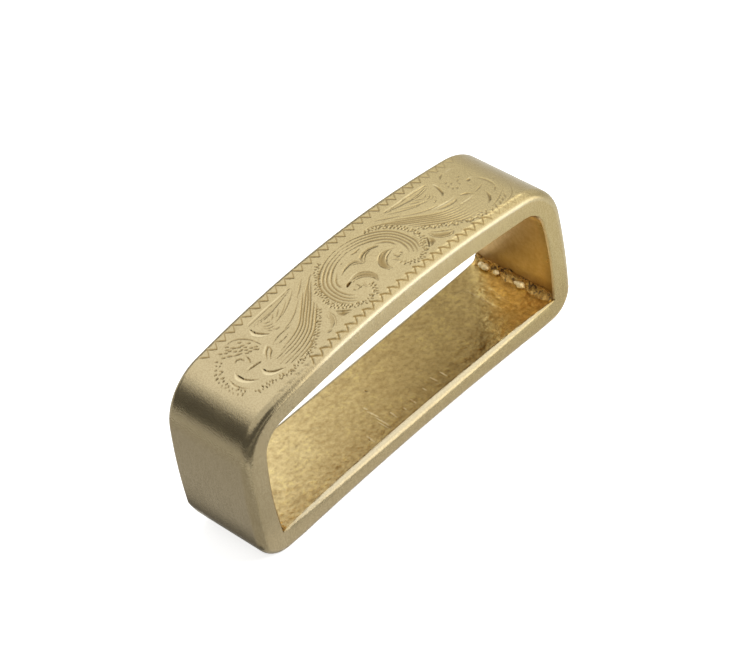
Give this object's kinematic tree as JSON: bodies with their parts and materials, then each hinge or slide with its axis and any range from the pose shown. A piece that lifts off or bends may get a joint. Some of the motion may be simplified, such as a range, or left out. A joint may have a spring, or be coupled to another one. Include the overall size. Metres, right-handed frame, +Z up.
{
  "type": "strap keeper loop",
  "caption": "Closed brass keeper loop for a belt strap: a crowned, scroll-engraved bridge with two bowed legs, soldered to a back bar with a hollow underside, around a wide strap slot.",
  "frame": {"origin": "midway between the two flats under the ends of the back bar, in the plane that the part stands on", "axes": "+X along the slot's width, from leg to leg; +Y across the band, the way the strap runs through; +Z up, from the back bar to the engraved face"},
  "size_m": [0.0456, 0.011, 0.0198],
  "materials": {
    "engraved_brass": "satin brushed, bright-cut engraving on the face",
    "plain_brass": "satin brushed outside, rough cast skin inside the slot",
    "hard_solder": "pale hard solder, beaded, as it froze"
  },
  "bodies": {
    "root": {"bridge_strip": "engraved_brass", "back_bar": "plain_brass", "left_solder_joint": "hard_solder", "right_solder_joint": "hard_solder"}
  },
  "joints": []
}
